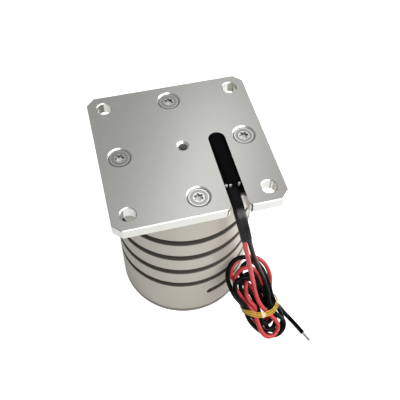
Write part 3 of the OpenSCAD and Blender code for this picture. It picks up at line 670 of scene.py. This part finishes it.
def new_group(name, **inputs):
    """Node group with number inputs of the given names and values, and a tone and a height to put out: the
    group, the sockets of its inputs and of its outputs, and the place on the piece."""
    group = bpy.data.node_groups.new(name, "ShaderNodeTree")
    for label, value in inputs.items():
        socket = group.interface.new_socket(label, in_out="INPUT", socket_type="NodeSocketFloat")
        socket.default_value = value
    for label in ("Tone", "Height"):
        group.interface.new_socket(label, in_out="OUTPUT", socket_type="NodeSocketFloat")
    given, put = group.nodes.new("NodeGroupInput"), group.nodes.new("NodeGroupOutput")
    return group, given.outputs, put.inputs, add_node(group, "TexCoord").outputs["Object"]


def turned_lines_group():
    """Lines that a turning tool leaves: noise along the height alone, fine and coarse, with faint clouds
    over them."""
    group, given, put, place = new_group("Turned_lines", Fine=4000, Coarse=700, Clouds=40)
    height = add_node(group, "SeparateXYZ", {0: place}).outputs["Z"]
    fine, coarse = (
        add_node(group, "TexNoise", {"W": height, "Scale": given[label]}, noise_dimensions="1D").outputs[0]
        for label in ("Fine", "Coarse"))
    lines = sum_of(group, fine, 0.5, coarse, 0.5)
    clouds = noise_of(group, place, given["Clouds"], 3)
    feed(group, put["Tone"], sum_of(group, lines, 0.7, clouds, 0.3))
    feed(group, put["Height"], lines)


def brushed_group():
    """Satin face: noise drawn out along one direction, over a fine grain."""
    group, given, put, place = new_group("Brushed", Across=5000, Along=120, Grain=6000)
    stretch = {0: given["Along"], 1: given["Across"], 2: given["Across"]}
    scale = add_node(group, "CombineXYZ", stretch).outputs[0]
    drawn = add_node(group, "VectorMath", {0: place, 1: scale}, operation="MULTIPLY").outputs[0]
    mixed = sum_of(group, noise_of(group, drawn, 1, 3), 0.65, noise_of(group, place, given["Grain"]), 0.35)
    feed(group, put["Tone"], mixed)
    feed(group, put["Height"], mixed)


def grain_group():
    """Even surface: a fine grain for the height, and clouds of a larger size for the tone."""
    group, given, put, place = new_group("Grain", Fine=5000, Clouds=120)
    fine = noise_of(group, place, given["Fine"], 3)
    clouds = noise_of(group, place, given["Clouds"], 3)
    feed(group, put["Tone"], sum_of(group, fine, 0.35, clouds, 0.65))
    feed(group, put["Height"], fine)


def painted_head_light_group():
    """Painted light on the screw heads, rings of painted highlight and painted shade: the distance from the
    nearest screw's axis, as a share of the head's radius, picks a tone from a row of stops, and a fine
    grain is laid over it."""
    group, given, put, place = new_group("Head_painted_light", Radius=0.0051, Fine=4000)
    share = math_of(group, "DIVIDE", nearest_of(group, SCREW_PLACES), given["Radius"])
    rings = add_node(group, "ValToRGB", {0: share})
    stops = rings.color_ramp.elements
    # Stops of painted highlight and painted shade across the head
    for at, tone in HEAD_LIGHT_TONES:
        stops.new(at).color = (tone, tone, tone, 1)
    for stop, tone in zip((stops[0], stops[-1]), HEAD_LIGHT_ENDS):
        stop.color = (tone, tone, tone, 1)
    mixed = sum_of(group, rings.outputs[0], 0.85, noise_of(group, place, given["Fine"]), 0.15)
    feed(group, put["Tone"], mixed)
    feed(group, put["Height"], mixed)


def feed_shader(material, label, value):
    """Links a node output to a socket of a material's shader."""
    tree = material.node_tree
    tree.links.new(value, tree.nodes["Principled BSDF"].inputs[label])


def mask_of(material, label, places, inner, outer, values):
    """Feeds a socket of a material's shader with one value within a distance of the nearest of some places
    and with another beyond a second distance, and evenly between them. The distances are in
    millimetres."""
    tree = material.node_tree
    share = ranged(tree, nearest_of(tree, places), (inner * MM, outer * MM), values)
    feed_shader(material, label, share)


def by_slope(tree, value, shares):
    """Node output of a colour or a number times one share on upright faces and another on level ones."""
    normal = add_node(tree, "NewGeometry").outputs["Normal"]
    upward = add_node(tree, "SeparateXYZ", {0: normal}).outputs["Z"]
    share = ranged(tree, math_of(tree, "ABSOLUTE", upward), LEVEL_SPAN, shares)
    if value.type == "RGBA":
        return add_node(tree, "VectorMath", {0: value, "Scale": share}, operation="SCALE").outputs[0]
    return math_of(tree, "MULTIPLY", value, share)


def finish_of(name, group, values, dark, light, rough, bump=0.05, depth=0.00005, shade_tints=None, dulls=None,
              **plain):
    """Material whose colour goes from dark to light and whose roughness goes between two values with the
    tone of a group, and whose surface follows the group's height. Shade tints are shares of the colour on
    upright and on level faces, which paint shade onto one kind of face, and dulls are such shares of the
    roughness. Other values are set on the shader itself."""
    material = bpy.data.materials.new(name)
    material.use_nodes = True
    tree = material.node_tree
    for label, value in plain.items():
        tree.nodes["Principled BSDF"].inputs[label.replace("_", " ")].default_value = value
    effect = add_node(tree, "Group", values, node_tree=bpy.data.node_groups[group])
    tone, height = effect.outputs["Tone"], effect.outputs["Height"]
    ends = {0: ranged(tree, tone, TONE_SPAN), 6: (*dark, 1), 7: (*light, 1)}
    colour = add_node(tree, "Mix", ends, data_type="RGBA").outputs[2]
    feed_shader(material, "Base Color", by_slope(tree, colour, shade_tints) if shade_tints else colour)
    dull = ranged(tree, tone, TONE_SPAN, rough)
    feed_shader(material, "Roughness", by_slope(tree, dull, dulls) if dulls else dull)
    relief = add_node(tree, "Bump", {"Strength": bump, "Distance": depth, "Height": height})
    feed_shader(material, "Normal", relief.outputs[0])
    return material


def shade(colour, share):
    """Colour times a share, kept between 0 and 1."""
    return tuple(np.clip(np.array(colour[:3]) * share, 0, 1).tolist())


def dress(node, material):
    """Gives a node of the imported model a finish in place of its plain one."""
    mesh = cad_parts[node].data
    mesh.materials.clear()
    mesh.materials.append(material)


def stand(name, data, right, up, back, at):
    """Object for a camera or a light, turned to three directions and put at a place."""
    pose = np.eye(4)
    pose[:3] = np.stack((right, up, back, at), 1)
    held = bpy.data.objects.new(name, data)
    held.matrix_world = Matrix(pose.tolist())
    bpy.context.scene.collection.objects.link(held)
    return held


class MOTOR_OT_stage(bpy.types.Operator):
    """Camera at the photograph's angle, pale floor and soft studio light"""

    bl_idname = "motor.stage"
    bl_label = "Stage"

    def execute(self, context):
        scene = context.scene
        camera = bpy.data.cameras.new("Camera")
        camera.lens, camera.sensor_width = EYE_LENS, EYE_SENSOR
        scene.camera = stand("Camera", camera, EYE_RIGHT, EYE_UP, -EYE_AHEAD, EYE_PLACE * MM)
        scene.view_settings.view_transform = "Standard"

        pale = scene.motor_finishes.floor
        white = finish_of("Floor_paint", "Grain", {"Fine": 900, "Clouds": 8}, shade(pale, 0.99), pale,
                          (0.55, 0.6), Emission_Color=(1, 1, 1, 1))
        seen = add_node(white.node_tree, "LightPath").outputs["Is Camera Ray"]
        feed_shader(white, "Emission Strength", math_of(white.node_tree, "MULTIPLY", seen, FLOOR_GLOW))
        corners = np.array([[-1, -1, 0], [1, -1, 0], [1, 1, 0], [-1, 1, 0]]) * FLOOR_HALF
        put_mesh("Floor", corners - [0, 0, FLOOR_DEPTH], [[0, 1, 2, 3]], white)

        world = bpy.data.worlds.new("Studio")
        world.use_nodes = True
        scene.world = world
        tree = world.node_tree
        place = add_node(tree, "TexCoord").outputs["Generated"]
        turned = add_node(tree, "Mapping", {0: place, "Rotation": SKY_TURN}).outputs[0]
        fade = add_node(tree, "TexGradient", {0: turned}).outputs[0]
        tones = add_node(tree, "ValToRGB", {0: fade})
        for stop, tone in zip(tones.color_ramp.elements, SKY_TONES):
            stop.color = (tone, tone, tone, 1)
        straight = add_node(tree, "LightPath").outputs["Is Camera Ray"]
        ends = {0: straight, 6: tones.outputs[0], 7: (1, 1, 1, 1)}
        shown = add_node(tree, "Mix", ends, data_type="RGBA").outputs[2]
        feed(tree, tree.nodes["Background"].inputs["Color"], shown)

        for name, at, run, wide, long, power in LIGHTS:
            light = bpy.data.lights.new(name, "AREA")
            light.shape, light.size, light.size_y, light.energy = "RECTANGLE", wide, long, power
            back = unit(np.array(at) - LIGHT_AIM)
            run = unit(np.array(run) - back * (back @ run))
            stand(name, light, np.cross(run, back), run, back, at)
        return {"FINISHED"}


class MOTOR_OT_leads(bpy.types.Operator):
    """Red and black lead, each one tube from the sleeve through the hank to its free end"""

    bl_idname = "motor.leads"
    bl_label = "Leads"

    def execute(self, context):
        size, paints = context.scene.motor_sizes, context.scene.motor_finishes
        radius, clear = size.lead_diameter / MM / 2, 0.1
        routes = settled([red_points(radius), black_points(radius)], size.lead_gap / MM,
                         size.tube_radius / MM + radius + clear, radius + clear)
        for name, route, colour, gloss, nodes, slot in (
            ("Lead_red", routes[0], paints.red, 0.22, ("lead_red", "tail_red", "lead_hank"), "red_lead"),
            ("Lead_black", routes[1], paints.black, 0.07, ("lead_black", "tail_black"), "black_lead"),
        ):
            path = smooth_line(route, step=1.0)
            points, faces = capped(carried(path, turned_sides(path), circle(radius, count=16)))
            skin = finish_of(name + "_skin", "Grain", {"Fine": 2500, "Clouds": 160}, shade(colour, 0.88),
                             shade(colour, 1.08), (0.12, 0.2), bump=0.12, Specular_IOR_Level=gloss)
            lead = put_mesh(name, points, faces, skin, sharp=50)
            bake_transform(lead)
            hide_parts(*nodes)
        return {"FINISHED"}


class MOTOR_OT_tips(bpy.types.Operator):
    """Twisted bare strands at the free ends of the leads"""

    bl_idname = "motor.tips"
    bl_label = "Bare tips"

    def execute(self, context):
        size = context.scene.motor_sizes
        tinned = finish_of("Tinned_strands", "Grain", {"Fine": 4000, "Clouds": 900}, paint(176, 174, 170),
                           paint(214, 212, 206), (0.28, 0.42), bump=0.1, Metallic=1.0)
        for name, route, node in (("Tip_red", RED_END, "tip_red"), ("Tip_black", BLACK_END, "tip_black")):
            points, faces = tip_shape(route, size.tip_diameter / MM, size.tip_length / MM)
            tip = put_mesh(name, points, faces, tinned, sharp=60)
            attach(tip, "base")
            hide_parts(node)
        return {"FINISHED"}


class MOTOR_OT_tie(bpy.types.Operator):
    """Gold-yellow tie around the hank"""

    bl_idname = "motor.tie"
    bl_label = "Hank tie"

    def execute(self, context):
        size, paints = context.scene.motor_sizes, context.scene.motor_finishes
        points, faces, thick = tie_shape(size.tie_width / MM, size.tie_thickness / MM)
        film = finish_of("Clear_yellow_tie", "Grain", {"Fine": 700, "Clouds": 420}, shade(paints.tie, 0.8),
                         shade(paints.tie, 1.15), (0.14, 0.26), bump=0.15, depth=0.0002)
        tie = put_mesh("Hank_tie", points, faces, film, sharp=30)
        tie.data.attributes.new("Thick", "FLOAT", "POINT").data.foreach_set("value", thick)
        known = add_node(film.node_tree, "Attribute", attribute_name="Thick").outputs["Fac"]
        feed_shader(film, "Alpha", ranged(film.node_tree, known, (0, 1), TIE_COVER))
        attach(tie, "base")
        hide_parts("hank_tie")
        return {"FINISHED"}


class MOTOR_OT_sleeve(bpy.types.Operator):
    """Shrunk sleeve over both leads, from the potting over the plate's edge"""

    bl_idname = "motor.sleeve"
    bl_label = "Sleeve"

    def execute(self, context):
        size = context.scene.motor_sizes
        points, faces = sleeve_shape(size.lead_diameter / MM, size.sleeve_wall / MM)
        satin = finish_of("Satin_sleeve", "Grain", {"Fine": 3000, "Clouds": 240}, paint(13, 13, 15),
                          paint(21, 21, 24), (0.26, 0.34), bump=0.15, Specular_IOR_Level=0.07,
                          Coat_Roughness=0.25)
        mask_of(satin, "Coat Weight", (SLEEVE_BEND,), inner=1.5, outer=3.6, values=(0.7, 0))
        sleeve = put_mesh("Shrink_sleeve", points, faces, satin, sharp=60)
        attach(sleeve, "mover")
        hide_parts("shrink_sleeve")
        return {"FINISHED"}


class MOTOR_OT_potting(bpy.types.Operator):
    """Gloss black potting in the wire slot"""

    bl_idname = "motor.potting"
    bl_label = "Potting"

    def execute(self, context):
        size, paints = context.scene.motor_sizes, context.scene.motor_finishes
        points, faces = potting_shape(size.potting_dip / MM)
        gloss = finish_of("Gloss_potting", "Grain", {"Fine": 500, "Clouds": 160},
                          shade(paints.potting, 0.8), shade(paints.potting, 1.3), (0.05, 0.11), bump=0.05,
                          depth=0.0004, Specular_IOR_Level=0.02, Coat_Roughness=0.02, Coat_IOR=3.0)
        blobs = [blob[:2] for blob in POTTING_BLOBS]
        mask_of(gloss, "Coat Weight", blobs, inner=0.5, outer=0.75, values=(1, 0))
        potting = put_mesh("Potting", points, faces, gloss, sharp=60)
        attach(potting, "mover")
        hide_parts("potting")
        return {"FINISHED"}


class MOTOR_OT_spring_tube(bpy.types.Operator):
    """Turned spring tube with its helical slot"""

    bl_idname = "motor.spring_tube"
    bl_label = "Spring tube"

    def execute(self, context):
        size, paints = context.scene.motor_sizes, context.scene.motor_finishes
        points, faces = spring_tube_shape(size)
        # Level faces, mostly those inside the helical slot, get a quarter of the colour: painted shade in
        # the slot
        turned = finish_of("Turned_tube", "Turned_lines", {"Fine": 5200, "Coarse": 800, "Clouds": 30},
                           shade(paints.tube, 0.9), shade(paints.tube, 1.06), (0.32, 0.4), bump=0.16,
                           depth=0.00004, shade_tints=(1, 0.25), Metallic=0.3)
        tube = put_mesh("Spring_tube", points, faces, turned, sharp=30)
        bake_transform(tube)
        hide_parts("spring_tube")
        return {"FINISHED"}


class MOTOR_OT_plate(bpy.types.Operator):
    """Satin finish of the top plate and its screws"""

    bl_idname = "motor.plate"
    bl_label = "Plate and screws"

    def execute(self, context):
        paints = context.scene.motor_finishes
        satin = finish_of("Satin_aluminium", "Brushed", {"Across": 3400, "Along": 260, "Grain": 3800},
                          shade(paints.plate, 0.96), shade(paints.plate, 1.03), (0.27, 0.32), bump=0.03,
                          depth=0.00003, dulls=(0.5, 1))
        mask_of(satin, "Metallic", ((0, 0),), inner=2.2, outer=2.4, values=(0.72, 1))
        dress("top_plate", satin)
        # The screws carry painted light: rings of painted highlight and painted shade, socket walls
        # darkened to a fifth as painted shade, and a bright non-metal socket floor as a painted highlight
        steel = finish_of("Screw_steel", "Head_painted_light", {"Fine": 4200}, paint(128, 128, 125),
                          paint(238, 238, 234), (0.34, 0.22), bump=0.06, shade_tints=(0.2, 1))
        mask_of(steel, "Metallic", SCREW_PLACES, inner=1.6, outer=1.8, values=(0, 1))
        dress("plate_screws", steel)
        return {"FINISHED"}


class MOTOR_OT_inner_parts(bpy.types.Operator):
    """Finishes of the base plate and of the parts inside the tube"""

    bl_idname = "motor.inner_parts"
    bl_label = "Base and inner parts"

    def execute(self, context):
        base = context.scene.motor_finishes.base
        metal = finish_of("Base_metal", *LINES, shade(base, 0.85), shade(base, 1.08), (0.36, 0.5),
                          bump=0.12, depth=0.00004, Metallic=1)
        dress("base_plate", metal)
        for name, effect, dark, light, rough, bump, depth, metallic, nodes in INNER_FINISHES:
            finish = finish_of(name, *effect, paint(*dark), paint(*light), rough, bump, depth,
                               Metallic=metallic)
            for node in nodes:
                dress(node, finish)
        return {"FINISHED"}


class MOTOR_PT_pieces(bpy.types.Panel):
    """Lists the pieces of the motor, with its sizes and colours"""

    bl_idname = "MOTOR_PT_pieces"
    bl_label = "Voice coil motor"
    bl_space_type = "VIEW_3D"
    bl_region_type = "UI"
    bl_category = "Motor"

    def draw(self, context):
        for operator in OPERATORS:
            self.layout.operator(operator.bl_idname)
        for group in (context.scene.motor_sizes, context.scene.motor_finishes):
            box = self.layout.box()
            for label in group.__annotations__:
                box.prop(group, label)


OPERATORS = (
    MOTOR_OT_stage, MOTOR_OT_leads, MOTOR_OT_tips, MOTOR_OT_tie, MOTOR_OT_sleeve, MOTOR_OT_potting,
    MOTOR_OT_spring_tube, MOTOR_OT_plate, MOTOR_OT_inner_parts,
)
CLASSES = (MotorSizes, MotorFinishes, *OPERATORS, MOTOR_PT_pieces)


def register():
    for cls in CLASSES:
        bpy.utils.register_class(cls)
    bpy.types.Scene.motor_sizes = bpy.props.PointerProperty(type=MotorSizes)
    bpy.types.Scene.motor_finishes = bpy.props.PointerProperty(type=MotorFinishes)


def unregister():
    del bpy.types.Scene.motor_finishes
    del bpy.types.Scene.motor_sizes
    for cls in reversed(CLASSES):
        bpy.utils.unregister_class(cls)


def main():
    """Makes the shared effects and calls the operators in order."""
    register()
    turned_lines_group()
    brushed_group()
    grain_group()
    painted_head_light_group()
    for operator in OPERATORS:
        group, name = operator.bl_idname.split(".")
        getattr(getattr(bpy.ops, group), name)()


if __name__ == "__main__":
    main()
